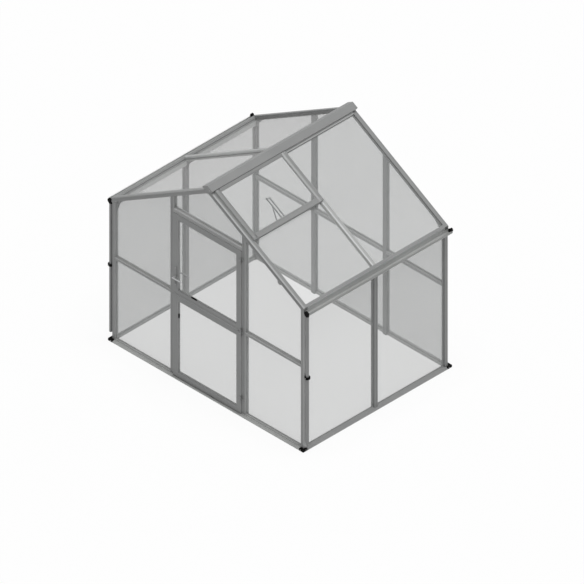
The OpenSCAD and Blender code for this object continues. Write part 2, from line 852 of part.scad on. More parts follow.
module mirror_in_leaf() {
    children();
    translate([0, -2 * leaf_y + leaf_d, 0]) mirror([0, 1, 0]) children();
}

module handle_plates() {
    color(steel) difference() {
        mirror_in_leaf() handle_plate();
        spindle_space(spindle_r + run_gap);
    }
}

module door_lever() {
    lever_y = -leaf_y - plate_t - lever_stand;
    color(steel) {
        along_y(lever_y, -leaf_y + leaf_d + plate_t + lever_stand)
            translate([handle_x, handle_z]) circle(spindle_r, $fn = 32);
        mirror_in_leaf() {
            translate([handle_x, lever_y, handle_z]) rotate([0, 90, 0])
                cylinder(h = lever_l, r = lever_r, $fn = 32);
            translate([handle_x, lever_y, handle_z]) sphere(spindle_r, $fn = 32);
            translate([handle_x + lever_l, lever_y, handle_z]) sphere(lever_r, $fn = 32);
        }
    }
}

front_sill();
back_sill();
side_sills();
corner_shoes();
front_posts();
back_posts();
door_posts();
door_head();
front_rails();
back_mullions();
back_rails();
side_mullions();
eave_beams();
right_gutter();
left_gutter();
gutter_outlets();
gutter_end_caps();
downpipes();
pipe_clips();
front_rafters();
back_rafters();
middle_rafters();
ridge_beam();
ridge_cap();
ridge_ends();
eave_gussets();
front_glass();
back_glass();
side_glass();
left_roof_glass();
right_roof_glass();
vent_sill();
vent_rails();
vent_stiles();
vent_glass();
vent_opener();
post_hinges();
lower_leaf_stiles();
lower_leaf_rails();
lower_leaf_glass();
lower_leaf_hinges();
lower_leaf_catch();
upper_leaf_stiles();
upper_leaf_rails();
upper_leaf_glass();
upper_leaf_hinges();
upper_leaf_latch();
handle_plates();
door_lever();
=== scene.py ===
# %% [markdown]
# # A small glass greenhouse
# The imported CAD model gives every bar, pane and fitting its true size and place. This lesson adds what the
# solids leave out: the finishes, rubber seals round the panes, lips and a drip strip on the door, hooks on
# the gutter caps, screws, a lock and a hanging eye. The first step loads the model.

import math

import bmesh
import bpy
from mathutils import Matrix, Vector


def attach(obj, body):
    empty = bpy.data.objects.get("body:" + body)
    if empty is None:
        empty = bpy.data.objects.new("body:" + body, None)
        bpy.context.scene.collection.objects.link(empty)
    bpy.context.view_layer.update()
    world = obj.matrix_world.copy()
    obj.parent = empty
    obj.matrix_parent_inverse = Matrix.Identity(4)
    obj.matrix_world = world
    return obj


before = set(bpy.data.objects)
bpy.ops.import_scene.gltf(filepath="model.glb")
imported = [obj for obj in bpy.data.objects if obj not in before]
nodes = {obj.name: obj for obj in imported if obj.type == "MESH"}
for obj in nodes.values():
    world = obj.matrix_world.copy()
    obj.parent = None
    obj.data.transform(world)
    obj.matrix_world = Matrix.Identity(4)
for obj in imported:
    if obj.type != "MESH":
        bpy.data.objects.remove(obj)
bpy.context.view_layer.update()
bpy.ops.object.select_all(action="DESELECT")

# %% [markdown]
# ## Sizes from the CAD model
# New pieces have to sit exactly on the bars and panes. Their places could be typed in again, but they
# would be wrong as soon as a size changes. So two small helpers read them off the loaded pieces: the box
# of a piece, and the inner face of a pair of bars that stand mirrored about the middle.

# %% Read sizes off the CAD pieces
def span(name):
    """The low and the high corner of a CAD piece."""
    places = [vertex.co for vertex in nodes[name].data.vertices]
    return [Vector([end(place[axis] for place in places) for axis in range(3)]) for end in (min, max)]


def inner_face(name, axis):
    """How near a mirrored pair comes to the middle, along axis 0, 1 or 2."""
    return min(abs(vertex.co[axis]) for vertex in nodes[name].data.vertices)


EAVE_Z = 1.720
WALL_X = span("front_posts")[1].x
APEX_Z = span("ridge_beam")[1].z
ROOF_PITCH = math.atan2(APEX_Z - EAVE_Z, WALL_X)
print("roof pitch", round(math.degrees(ROOF_PITCH), 2), "degrees")

# %% [markdown]
# ## Camera
# The drawing is a true isometric view: parallel lines stay parallel, and the three axes are equally long.
# A perspective camera far away would come close to that, and an orthographic camera on the diagonal of a
# cube gives it exactly. Its scale and its small offset from the middle of the house set the framing.

# %% Isometric camera
ORTHO_SCALE = 5.773
MIDDLE = Vector((0.0, 0.0, 1.27))
OFFSET_RIGHT, OFFSET_DOWN = 0.1186, 0.429
STAND_OFF = 12.0

view_back = Vector((1.0, -1.0, 1.0)).normalized()
view_turn = (-view_back).to_track_quat("-Z", "Y")
view_right = view_turn @ Vector((1.0, 0.0, 0.0))
view_up = view_turn @ Vector((0.0, 1.0, 0.0))

bpy.ops.object.camera_add()
camera = bpy.context.object
camera.data.type = "ORTHO"
camera.data.ortho_scale = ORTHO_SCALE
camera.location = MIDDLE + view_right * OFFSET_RIGHT - view_up * OFFSET_DOWN + view_back * STAND_OFF
camera.rotation_mode = "QUATERNION"
camera.rotation_quaternion = view_turn
bpy.context.scene.camera = camera
print("camera at", tuple(round(v, 2) for v in camera.location))

# %% [markdown]
# ## Floor
# The house stands on plain white. A white floor under normal light still renders grey, so the floor glows
# white where the camera, a reflection or a view through glass meets it. A small share of real diffuse
# shading is mixed in, and that share keeps the soft shadow.

# %% White floor
FLOOR_SIZE = 60.0
FLOOR_DROP = 0.001
FLOOR_COLOUR = (0.93, 0.93, 0.93, 1.0)
SHOWN_WHITE = 0.86


def seen_directly(tree):
    """A value that is 1 for camera, glossy and transmission rays."""
    path = tree.nodes.new("ShaderNodeLightPath")
    first = tree.nodes.new("ShaderNodeMath")
    first.operation = "MAXIMUM"
    second = tree.nodes.new("ShaderNodeMath")
    second.operation = "MAXIMUM"
    tree.links.new(path.outputs["Is Camera Ray"], first.inputs[0])
    tree.links.new(path.outputs["Is Glossy Ray"], first.inputs[1])
    tree.links.new(first.outputs[0], second.inputs[0])
    tree.links.new(path.outputs["Is Transmission Ray"], second.inputs[1])
    return second.outputs[0]


bpy.ops.mesh.primitive_plane_add(size=FLOOR_SIZE, location=(0.0, 0.0, -FLOOR_DROP))
floor = bpy.context.object
floor.name = "floor"
floor_paint = bpy.data.materials.new("white_floor")
floor_paint.use_nodes = True
tree = floor_paint.node_tree
tree.nodes.clear()
matt = tree.nodes.new("ShaderNodeBsdfDiffuse")
matt.inputs["Color"].default_value = FLOOR_COLOUR
glow = tree.nodes.new("ShaderNodeEmission")
share = tree.nodes.new("ShaderNodeMath")
share.operation = "MULTIPLY"
share.inputs[1].default_value = SHOWN_WHITE
mix = tree.nodes.new("ShaderNodeMixShader")
out = tree.nodes.new("ShaderNodeOutputMaterial")
tree.links.new(seen_directly(tree), share.inputs[0])
tree.links.new(share.outputs[0], mix.inputs["Fac"])
tree.links.new(matt.outputs[0], mix.inputs[1])
tree.links.new(glow.outputs[0], mix.inputs[2])
tree.links.new(mix.outputs[0], out.inputs["Surface"])
floor.data.materials.append(floor_paint)
print("floor of", FLOOR_SIZE, "m")

# %% [markdown]
# ## Surroundings and lamp
# The surroundings look white too, but light the house only softly and evenly. One broad lamp from almost
# straight above makes tops lighter than fronts. A point lamp would do that with hard shadows, and the
# wide angle of a sun lamp keeps them soft.

# %% Surroundings and lamp
AMBIENT = 0.335
LAMP_POWER = 2.10
LAMP_FROM = Vector((0.12, -0.045, 0.97))
LAMP_ANGLE = 35.0
WHITE = (1.0, 1.0, 1.0, 1.0)

world = bpy.data.worlds.new("white_room")
bpy.context.scene.world = world
world.use_nodes = True
tree = world.node_tree
tree.nodes.clear()
soft = tree.nodes.new("ShaderNodeBackground")
soft.inputs["Color"].default_value = WHITE
soft.inputs["Strength"].default_value = AMBIENT
bright = tree.nodes.new("ShaderNodeBackground")
bright.inputs["Color"].default_value = WHITE
mix = tree.nodes.new("ShaderNodeMixShader")
out = tree.nodes.new("ShaderNodeOutputWorld")
tree.links.new(seen_directly(tree), mix.inputs["Fac"])
tree.links.new(soft.outputs[0], mix.inputs[1])
tree.links.new(bright.outputs[0], mix.inputs[2])
tree.links.new(mix.outputs[0], out.inputs["Surface"])

bpy.ops.object.light_add(type="SUN")
lamp = bpy.context.object
lamp.data.energy = LAMP_POWER
lamp.data.angle = math.radians(LAMP_ANGLE)
lamp.rotation_mode = "QUATERNION"
lamp.rotation_quaternion = LAMP_FROM.to_track_quat("Z", "Y")
bpy.context.scene.view_settings.view_transform = "Standard"
print("soft surroundings of", AMBIENT, "and a lamp of", LAMP_POWER)

# %% [markdown]
# ## Helpers for finishes
# Every finish here is a Principled shader led by noise: a noise value picks a tone, a roughness or a small
# bump. Image textures could do the same, but noise needs no files and stays sharp close up. The helpers
# below each wrap one node, so that a finish reads as a few lines.

# %% Tones, ranges and bumps from noise
NOISE_LOW, NOISE_HIGH = 0.3, 0.7


def principled(name):
    """A new material, its tree and its Principled shader."""
    made = bpy.data.materials.new(name)
    made.use_nodes = True
    return made, made.node_tree, made.node_tree.nodes["Principled BSDF"]


def noise(tree, vector, scale, detail=3.0, rough=0.55):
    """A noise texture read at a vector."""
    made = tree.nodes.new("ShaderNodeTexNoise")
    made.inputs["Scale"].default_value = scale
    made.inputs["Detail"].default_value = detail
    made.inputs["Roughness"].default_value = rough
    tree.links.new(vector, made.inputs["Vector"])
    return made.outputs["Fac"]


def spread(tree, value, start, end, low, high):
    """A value that runs from low to high as another runs from start to end."""
    made = tree.nodes.new("ShaderNodeMapRange")
    made.inputs["From Min"].default_value = start
    made.inputs["From Max"].default_value = end
    made.inputs["To Min"].default_value = low
    made.inputs["To Max"].default_value = high
    tree.links.new(value, made.inputs["Value"])
    return made.outputs["Result"]


def roughness(tree, shader, value, low, high):
    """A shader's roughness between two ends, led by a noise value."""
    tree.links.new(spread(tree, value, NOISE_LOW, NOISE_HIGH, low, high), shader.inputs["Roughness"])


def two_tone(tree, value, dark, light):
    """A colour between two tones, led by a noise value."""
    made = tree.nodes.new("ShaderNodeValToRGB")
    made.color_ramp.elements[0].position = NOISE_LOW
    made.color_ramp.elements[0].color = (*dark, 1.0)
    made.color_ramp.elements[1].position = NOISE_HIGH
    made.color_ramp.elements[1].color = (*light, 1.0)
    tree.links.new(value, made.inputs["Fac"])
    return made.outputs["Color"]


def raise_by(tree, shader, height, strength, distance):
    """A bump on a shader."""
    made = tree.nodes.new("ShaderNodeBump")
    made.inputs["Strength"].default_value = strength
    made.inputs["Distance"].default_value = distance
    tree.links.new(height, made.inputs["Height"])
    tree.links.new(made.outputs["Normal"], shader.inputs["Normal"])


print("noise values count from", NOISE_LOW, "to", NOISE_HIGH)

# %% [markdown]
# ## Where a pattern lies
# A pattern needs a place on the piece. Object coordinates are the piece's own metres, so a pattern stays
# put when a door leaf swings. A Mapping node turns and stretches them, and on the roof the distance from
# the ridge is used, so that both slopes share one finish.

# %% Places and directions for patterns
def object_place(tree):
    """The place on the piece, in metres."""
    return tree.nodes.new("ShaderNodeTexCoord").outputs["Object"]


def face_normal(tree):
    """The direction in which the surface looks."""
    return tree.nodes.new("ShaderNodeTexCoord").outputs["Normal"]


def part_of(tree, vector, axis):
    """One axis of a vector."""
    apart = tree.nodes.new("ShaderNodeSeparateXYZ")
    tree.links.new(vector, apart.inputs[0])
    return apart.outputs[axis]


def positive(tree, value):
    """A value without its sign."""
    made = tree.nodes.new("ShaderNodeMath")
    made.operation = "ABSOLUTE"
    tree.links.new(value, made.inputs[0])
    return made.outputs[0]


def turned(tree, vector, turn=(0.0, 0.0, 0.0), scale=(1.0, 1.0, 1.0)):
    """A vector turned and stretched by a Mapping node."""
    made = tree.nodes.new("ShaderNodeMapping")
    made.inputs["Rotation"].default_value = turn
    made.inputs["Scale"].default_value = scale
    tree.links.new(vector, made.inputs["Vector"])
    return made.outputs["Vector"]


def mirrored_in_ridge(tree, vector):
    """A vector with its X made positive, so that both slopes read alike."""
    again = tree.nodes.new("ShaderNodeCombineXYZ")
    tree.links.new(positive(tree, part_of(tree, vector, "X")), again.inputs["X"])
    tree.links.new(part_of(tree, vector, "Y"), again.inputs["Y"])
    tree.links.new(part_of(tree, vector, "Z"), again.inputs["Z"])
    return again.outputs[0]


print("patterns lie on object coordinates")

# %% [markdown]
# ## Painted light on shaded faces
# Faces that the lamp from above leaves in shade, such as upright faces, the returns beside the panes and the
# insides of the gutters, are painted lighter. Each helper paints light into the colour of one kind of face,
# picked by the way it looks or by its place, and a lift below 1 paints shade instead. Painting the faces by
# hand would work too, but a rule holds for every bar at once. The values below say where each lift starts
# and where it is full.

# %% Painted light for faces in shade
TOP_Z, SIDE_Z = 0.7, 0.2
FRONT_X, RETURN_X = 0.3, 0.8
INWARD = -0.6
BACK_X, TROUGH_X = WALL_X + 0.007, WALL_X + 0.023


def with_painted_light(tree, colour, value, start, end, lift):
    """A colour whose scale goes from 1 to lift as a value goes from start to end."""
    scaled = tree.nodes.new("ShaderNodeVectorMath")
    scaled.operation = "SCALE"
    tree.links.new(colour, scaled.inputs[0])
    tree.links.new(spread(tree, value, start, end, 1.0, lift), scaled.inputs["Scale"])
    return scaled.outputs["Vector"]


def paint_light_upright(tree, colour, lift):
    """Painted light on upright and overhanging faces, which the lamp from above leaves in shade."""
    return with_painted_light(tree, colour, part_of(tree, face_normal(tree), "Z"), TOP_Z, SIDE_Z, lift)


def paint_light_returns(tree, colour, lift):
    """Painted light on the return faces beside the panes, which lie in shade."""
    sideways = positive(tree, part_of(tree, face_normal(tree), "X"))
    return with_painted_light(tree, colour, sideways, FRONT_X, RETURN_X, lift)


def paint_light_inside(tree, colour, lift):
    """Painted light on faces that look towards the middle of the house, as the shaded inside of a gutter's
    wall does.
    """
    product = tree.nodes.new("ShaderNodeVectorMath")
    product.operation = "MULTIPLY"
    tree.links.new(object_place(tree), product.inputs[0])
    tree.links.new(face_normal(tree), product.inputs[1])
    return with_painted_light(tree, colour, part_of(tree, product.outputs["Vector"], "X"), 0.0, INWARD, lift)


def paint_light_back(tree, colour, lift):
    """Painted light on the wall of the right gutter that lies against the eave, in shade under the roof
    edge.
    """
    return with_painted_light(tree, colour, part_of(tree, object_place(tree), "X"), TROUGH_X, BACK_X, lift)


# Painted light and shade, by the kind of face it goes on.
PAINTED_LIGHTS = {"upright": paint_light_upright, "returns": paint_light_returns, "inside": paint_light_inside, "back": paint_light_back}
print("lifts:", sorted(PAINTED_LIGHTS))

# %% [markdown]
# ## Aluminium
# The bars are extruded: the die leaves fine lines along each bar, and the mill finish is a matt grey with
# faint patches. A picture of brushed metal would have to be unwrapped on every bar, and a noise stretched
# along the bar gives the lines without that. Each direction of bars has its own mapping, so there is one
# plain finish for bars that lie across, stand upright or follow the roof.

# %% Plain aluminium
ALONG, ACROSS = 1.2, 260.0
PATCH_SCALE = 2.6
ALU_DARK, ALU_LIGHT = (0.222, 0.226, 0.225), (0.246, 0.249, 0.247)
ALU_METALLIC = 0.25


def aluminium(name, run, dark=ALU_DARK, light=ALU_LIGHT, **lifts):
    """Extruded aluminium with its die lines along x, y, z or the roof slope, and light or shade painted on
    the faces each lift picks.
    """
    made, tree, shader = principled(name)
    place = object_place(tree)
    if run == "slope":
        place = turned(tree, mirrored_in_ridge(tree, place), turn=(0.0, -ROOF_PITCH, 0.0))
    stretch = [ALONG if axis == run.replace("slope", "x") else ACROSS for axis in "xyz"]
    lines = noise(tree, turned(tree, place, scale=stretch), scale=1.0, detail=2.0)
    patches = noise(tree, place, PATCH_SCALE, detail=4.0)
    colour = two_tone(tree, patches, dark, light)
    # Each lift paints light or shade into the colour of one kind of face.
    for kind, lift in lifts.items():
        colour = PAINTED_LIGHTS[kind](tree, colour, lift)
    tree.links.new(colour, shader.inputs["Base Color"])
    roughness(tree, shader, lines, low=0.42, high=0.56)
    raise_by(tree, shader, lines, strength=0.12, distance=0.0006)
    shader.inputs["Metallic"].default_value = ALU_METALLIC
    return made


ALUMINIUM = {run: aluminium("aluminium_" + run, run) for run in ("x", "z", "slope")}
print("plain aluminium along", list(ALUMINIUM))

# %% [markdown]
# ## Aluminium of single bars
# Some bars take lighter or darker copies of the same finish, which is painted light and shade: the sills,
# rails, door head, middle rafters, ridge beam and left gutter are painted lighter and the right gutter
# darker, and faces in shade under the ridge cap and the eaves get painted light. The gutters are of thin
# coated sheet.
# They take the same finish with other tones or with a lift.

# %% Aluminium copies with painted light and shade
# Painted light on the upright and overhanging faces of the ridge cap and the vent's rails, which lie in
# shade.
CAP_ALUMINIUM = aluminium("cap_aluminium", "y", upright=1.6)
# Painted light: a lighter tone for the ridge beam, which lies in the shade of the ridge cap.
RIDGE_ALUMINIUM = aluminium("ridge_aluminium", "y", (0.420, 0.427, 0.424), (0.460, 0.466, 0.463))
# Painted light on the upright faces of the eave beams, in shade above the gutters.
EAVE_ALUMINIUM = aluminium("eave_aluminium", "y", upright=2.4)
# Painted shade and light: a darker tone for the right gutter, with light painted on its upright faces and
# its shaded back wall.
RIGHT_GUTTER_SHEET = aluminium("right_gutter_sheet", "y", (0.215, 0.219, 0.215), (0.243, 0.247, 0.243),
                               upright=1.36, back=2.1)
# Painted light: a lighter tone for the left gutter, with more on the shaded inside of its outer wall.
LEFT_GUTTER_SHEET = aluminium("left_gutter_sheet", "y", (0.300, 0.305, 0.300), (0.340, 0.345, 0.340),
                              upright=1.05, inside=2.2)
# Painted light: a lighter tone for the sills, whose ledges lie in shade under the walls, and more on their
# upright faces.
SILL_ALUMINIUM = aluminium("sill_aluminium", "x", (0.300, 0.305, 0.300), (0.330, 0.335, 0.330),
                           upright=1.25)
# Painted light on the upright and steep faces of the side sills.
SIDE_SILL_ALUMINIUM = aluminium("side_sill_aluminium", "y", upright=1.4)
# Painted light on the returns of the posts and door stiles, which lie in shade beside the panes.
GABLE_ALUMINIUM = aluminium("gable_aluminium", "z", returns=1.65)
# Painted light: a lighter tone for the rails, whose tops lie in the shade of the rafters.
RAIL_ALUMINIUM = aluminium("rail_aluminium", "x", (0.295, 0.300, 0.297), (0.325, 0.329, 0.326))
# Painted light: a much lighter door head, whose top lies in the shade of the rafters; its upright faces are
# scaled back down.
HEAD_ALUMINIUM = aluminium("head_aluminium", "x", (0.460, 0.467, 0.463), (0.510, 0.516, 0.512),
                           upright=0.66)
# Painted light and a painted highlight: a lighter tone for the middle rafters, with more light on their
# upright faces.
MIDDLE_ALUMINIUM = aluminium("middle_aluminium", "slope", (0.360, 0.366, 0.363), (0.390, 0.395, 0.392),
                             upright=1.5)
# Painted light on the upright faces of the vent stiles, which lie in shade.
VENT_ALUMINIUM = aluminium("vent_aluminium", "slope", upright=1.6)
print("finishes so far:", len(bpy.data.materials))

# %% [markdown]
# ## Glass
# Single panes look like thin grey film: white behind one pane turns light grey, behind two panes it turns
# a step darker. A real glass shader would bend the view, which panes this thin hardly do. So each of a
# pane's two faces lets most of the light straight through and adds a little grey of its own. Faint smears
# in the gloss keep the panes from looking computed. The roof panes are clearer than the wall panes, and the
# left slope's panes are a darker grey: painted light and shade for the way the angle of view changes glass.

# %% Glass finish
SMEAR_SCALE = 1.7
GLASS_IOR = 1.45


def pane_glass(name, cover, dark, light):
    """Thin grey glass; cover is the share of each face that isn't clear."""
    made, tree, shader = principled(name)
    smears = noise(tree, object_place(tree), SMEAR_SCALE, detail=5.0, rough=0.6)
    tree.links.new(two_tone(tree, smears, dark, light), shader.inputs["Base Color"])
    roughness(tree, shader, smears, low=0.05, high=0.16)
    shader.inputs["Alpha"].default_value = cover
    shader.inputs["IOR"].default_value = GLASS_IOR
    return made


# Painted light and shade: the roof panes get less cover than the wall panes, and the left slope's panes a
# darker grey.
WALL_GLASS = pane_glass("wall_glass", cover=0.276, dark=(0.405, 0.418, 0.413), light=(0.428, 0.440, 0.434))
ROOF_GLASS = pane_glass("roof_glass", cover=0.213, dark=(0.400, 0.413, 0.408), light=(0.422, 0.434, 0.428))
SHADED_LEFT_ROOF_GLASS = pane_glass("left_roof_glass", cover=0.256, dark=(0.204, 0.205, 0.202),
                             light=(0.218, 0.219, 0.216))
print("glass finishes:", WALL_GLASS.name, ROOF_GLASS.name, SHADED_LEFT_ROOF_GLASS.name)

# %% [markdown]
# ## Plastic and rubber
# The corner shoes, gutter ends and grips are moulded black plastic with a fine grain, and the seals are
# grey rubber. Plain flat colours would look computed. Both are dull, so the finish has a fine bump, cloudy
# tones and hardly any gloss.

# %% Moulded finishes
CLOUD_SCALE = 9.0
POLISHED, WORN = 0.05, 0.08
MOULDED_GLOSS = 0.04


def moulded(name, dark, light, rough, grain):
    """Moulded plastic or rubber with a fine grain."""
    made, tree, shader = principled(name)
    place = object_place(tree)
    cloudy = noise(tree, place, CLOUD_SCALE)
    tree.links.new(two_tone(tree, cloudy, dark, light), shader.inputs["Base Color"])
    roughness(tree, shader, cloudy, low=rough - POLISHED, high=rough + WORN)
    raise_by(tree, shader, noise(tree, place, grain, detail=2.0), strength=0.25, distance=0.0004)
    shader.inputs["Specular IOR Level"].default_value = MOULDED_GLOSS
    return made


BLACK_PLASTIC = moulded("black_plastic", (0.003, 0.003, 0.003), (0.006, 0.006, 0.006),
                        rough=0.55, grain=900.0)
SEAL_RUBBER = moulded("seal_rubber", (0.300, 0.304, 0.300), (0.340, 0.344, 0.340),
                      rough=0.70, grain=1200.0)
print("moulded finishes:", BLACK_PLASTIC.name, SEAL_RUBBER.name)

# %% [markdown]
# ## Steel
# The vent's opener and the lock are satin steel, brushed along one way. The lever is brighter, polished by
# hands, and so are the screws. A noise that is stretched along X gives the brush lines, in the same way as
# the die lines of the bars but finer.

# %% Steel finishes
BRUSH_STRETCH = (30.0, 700.0, 700.0)


def brushed_steel(name, dark, light, metallic):
    """Steel brushed along X, from dark satin to bright."""
    made, tree, shader = principled(name)
    lines = noise(tree, turned(tree, object_place(tree), scale=BRUSH_STRETCH), scale=1.0, detail=2.0)
    tree.links.new(two_tone(tree, lines, dark, light), shader.inputs["Base Color"])
    roughness(tree, shader, lines, low=0.26, high=0.40)
    raise_by(tree, shader, lines, strength=0.10, distance=0.0002)
    shader.inputs["Metallic"].default_value = metallic
    return made


BRIGHT_STEEL = brushed_steel("bright_steel", (0.440, 0.445, 0.450), (0.540, 0.545, 0.550), metallic=0.6)
SATIN_STEEL = brushed_steel("satin_steel", (0.150, 0.153, 0.155), (0.200, 0.203, 0.205), metallic=0.4)
print("steel finishes:", BRIGHT_STEEL.name, SATIN_STEEL.name)

# %% [markdown]
# ## Finishes on the CAD pieces
# Each bar takes the aluminium whose lines run along it, so the pieces are sorted by the way they lie. Clear
# panes hold back hardly any light, so they cast no shadow on the bars beside them and throw no grey light
# back at them.

# %% Give every CAD piece its finish
FINISH_OF = {
    SILL_ALUMINIUM: ("front_sill", "back_sill"),
    HEAD_ALUMINIUM: ("door_head",),
    RAIL_ALUMINIUM: ("front_rails", "back_rails"),
    ALUMINIUM["x"]: ("lower_leaf_rails", "upper_leaf_rails"),
    SIDE_SILL_ALUMINIUM: ("side_sills",),
    CAP_ALUMINIUM: ("ridge_cap", "vent_sill", "vent_rails"),
    GABLE_ALUMINIUM: ("front_posts", "door_posts", "lower_leaf_stiles", "upper_leaf_stiles"),
    ALUMINIUM["z"]: ("back_posts", "back_mullions", "side_mullions", "downpipes", "eave_gussets",
                     "ridge_ends", "post_hinges", "lower_leaf_hinges", "upper_leaf_hinges",
                     "handle_plates"),
    ALUMINIUM["slope"]: ("front_rafters", "back_rafters"),
    MIDDLE_ALUMINIUM: ("middle_rafters",),
    VENT_ALUMINIUM: ("vent_stiles",),
    RIGHT_GUTTER_SHEET: ("right_gutter",),
    LEFT_GUTTER_SHEET: ("left_gutter",),
    EAVE_ALUMINIUM: ("eave_beams",),
    RIDGE_ALUMINIUM: ("ridge_beam",),
    WALL_GLASS: ("front_glass", "back_glass", "side_glass", "lower_leaf_glass", "upper_leaf_glass"),
    ROOF_GLASS: ("right_roof_glass", "vent_glass"),
    SHADED_LEFT_ROOF_GLASS: ("left_roof_glass",),
    BLACK_PLASTIC: ("corner_shoes", "gutter_outlets", "gutter_end_caps", "pipe_clips",
                    "lower_leaf_catch", "upper_leaf_latch"),
    SATIN_STEEL: ("vent_opener",),
    BRIGHT_STEEL: ("door_lever",),
}
for finish, names in FINISH_OF.items():
    for name in names:
        nodes[name].data.materials.clear()
        nodes[name].data.materials.append(finish)
for glass in (WALL_GLASS, ROOF_GLASS, SHADED_LEFT_ROOF_GLASS):
    for name in FINISH_OF[glass]:
        nodes[name].visible_shadow = False
        nodes[name].visible_diffuse = False
print("finished nodes:", sum(len(names) for names in FINISH_OF.values()), "of", len(nodes))

# %% [markdown]
# ## Work in edit mode
# By hand, a face or an edge is picked with the mouse. In a script it is picked by its place or by the way
# it looks, which also works when there is no window. FLAT is how much of a normal has to lie along an axis
# for a face to look straight that way. A finished piece gets merged corners, normals that point outwards,
# a finish and the body it moves with.

# %% Pick, merge and join
MERGE_DISTANCE = 0.00001
SMOOTH_ANGLE = 35.0
FLAT = 0.99


def edit(action):
    """Enter or leave edit mode with everything selected."""
    if action == "start":
        bpy.ops.object.mode_set(mode="EDIT")
        bpy.ops.mesh.select_all(action="SELECT")
    else:
        bpy.ops.mesh.select_all(action="SELECT")
        bpy.ops.mesh.remove_doubles(threshold=MERGE_DISTANCE)
        bpy.ops.mesh.normals_make_consistent(inside=False)
        bpy.ops.object.mode_set(mode="OBJECT")


def pick_faces(test):
    """Select the faces whose centre and normal pass a test."""
    bpy.ops.mesh.select_mode(type="FACE")
    mesh = bmesh.from_edit_mesh(bpy.context.object.data)
    for face in mesh.faces:
        face.select_set(bool(test(face.calc_center_median(), face.normal)))
    bmesh.update_edit_mesh(bpy.context.object.data)


def pick_edges(test):
    """Select the edges whose two ends pass a test."""
    bpy.ops.mesh.select_mode(type="EDGE")
    mesh = bmesh.from_edit_mesh(bpy.context.object.data)
    for edge in mesh.edges:
        edge.select_set(bool(test(edge.verts[0].co, edge.verts[1].co)))
    bmesh.update_edit_mesh(bpy.context.object.data)


def pull(*way):
    """Extrude what is selected and move it."""
    bpy.ops.mesh.extrude_region_move(TRANSFORM_OT_translate={"value": way})


def joined(name, parts, finish, body):
    """Parts made one piece with a finish, which moves with a body."""
    bpy.ops.object.select_all(action="DESELECT")
    for part in parts:
        part.select_set(True)
    bpy.context.view_layer.objects.active = parts[0]
    if len(parts) > 1:
        bpy.ops.object.join()
    piece = bpy.context.object
    piece.name = name
    piece.data.name = name
    piece.data.materials.clear()
    piece.data.materials.append(finish)
    bpy.ops.object.shade_smooth_by_angle(angle=math.radians(SMOOTH_ANGLE))
    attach(piece, body)
    return piece


print("corners merge within", MERGE_DISTANCE, "m, edges stay sharp past", SMOOTH_ANGLE, "degrees")

# %% [markdown]
# ## Sides of the house
# A piece that sits on a pane has to lie in that pane's plane. So each side of the house gets the turn that
# lays a flat shape on it, and the direction that points out of it. The planes under the rafters cut off
# what would stick out of the gables.

# %% Turns, directions and cuts
RAFTER_H = 0.047
UNDER_APEX = APEX_Z - RAFTER_H / math.cos(ROOF_PITCH)
RIGHT_SLOPE = Vector((math.sin(ROOF_PITCH), 0.0, math.cos(ROOF_PITCH)))
LEFT_SLOPE = Vector((-RIGHT_SLOPE.x, 0.0, RIGHT_SLOPE.z))
RIGHT_CUT = (Vector((0.0, 0.0, UNDER_APEX)), RIGHT_SLOPE)
LEFT_CUT = (Vector((0.0, 0.0, UNDER_APEX)), LEFT_SLOPE)
UPRIGHT = math.pi / 2
FACING = {"front": (UPRIGHT, 0.0, 0.0), "back": (UPRIGHT, 0.0, math.pi),
          "right": (UPRIGHT, 0.0, math.pi / 2), "left": (UPRIGHT, 0.0, -math.pi / 2),
          "right_roof": (0.0, ROOF_PITCH, 0.0), "left_roof": (0.0, -ROOF_PITCH, 0.0)}
OUTWARD = {"front": Vector((0.0, -1.0, 0.0)), "back": Vector((0.0, 1.0, 0.0)),
           "right": Vector((1.0, 0.0, 0.0)), "left": Vector((-1.0, 0.0, 0.0)),
           "right_roof": RIGHT_SLOPE, "left_roof": LEFT_SLOPE}
print("rafters meet below at", round(UNDER_APEX, 4), "m")

# %% [markdown]
# ## Pane seals
# A strip of rubber runs round each pane and wedges it in its slot. Only its outer lip shows, as a thin ring
# on the glass. It could be swept along the edge of the pane, but a ring is quicker made from a plane: cut
# off what lies above the rafters, inset it, delete the middle and pull the rest out from the glass.

# %% One seal ring
SEAL_W, SEAL_T = 0.005, 0.003


def seal_ring(side, centre, width, height, cuts=()):
    """A rubber ring on the outer face of one pane."""
    bpy.ops.object.select_all(action="DESELECT")
    bpy.ops.mesh.primitive_plane_add(size=1.0, location=centre, rotation=FACING[side])
    ring = bpy.context.object
    ring.scale = (width, height, 1.0)
    bpy.ops.object.transform_apply(location=True, rotation=True, scale=True)
    edit("start")
    for point, normal in cuts:
        bpy.ops.mesh.select_all(action="SELECT")
        bpy.ops.mesh.bisect(plane_co=point, plane_no=normal, clear_outer=True)
    bpy.ops.mesh.select_all(action="SELECT")
    bpy.ops.mesh.inset(thickness=SEAL_W)
    bpy.ops.mesh.delete(type="FACE")
    bpy.ops.mesh.select_all(action="SELECT")
    pull(*(OUTWARD[side] * SEAL_T))
    edit("end")
    return ring


rings = []
print("seal lips", SEAL_W, "m wide")

# %% [markdown]
# ## Seals of the gables
# Each gable has a lower and an upper pane at both sides of the doorway's posts, and the upper ones end
# under the rafters. In the middle the front has one pane above the door head, and the back has two.

# %% Gable seals
POST_X = inner_face("front_posts", 0)
DOOR_IN, DOOR_OUT = inner_face("door_posts", 0), span("door_posts")[1].x
SILL_Z = span("front_sill")[1].z
RAIL_LOW, RAIL_TOP = (corner.z for corner in span("front_rails"))
HEAD_TOP = span("door_head")[1].z
GABLE_Y = span("back_glass")[1].y


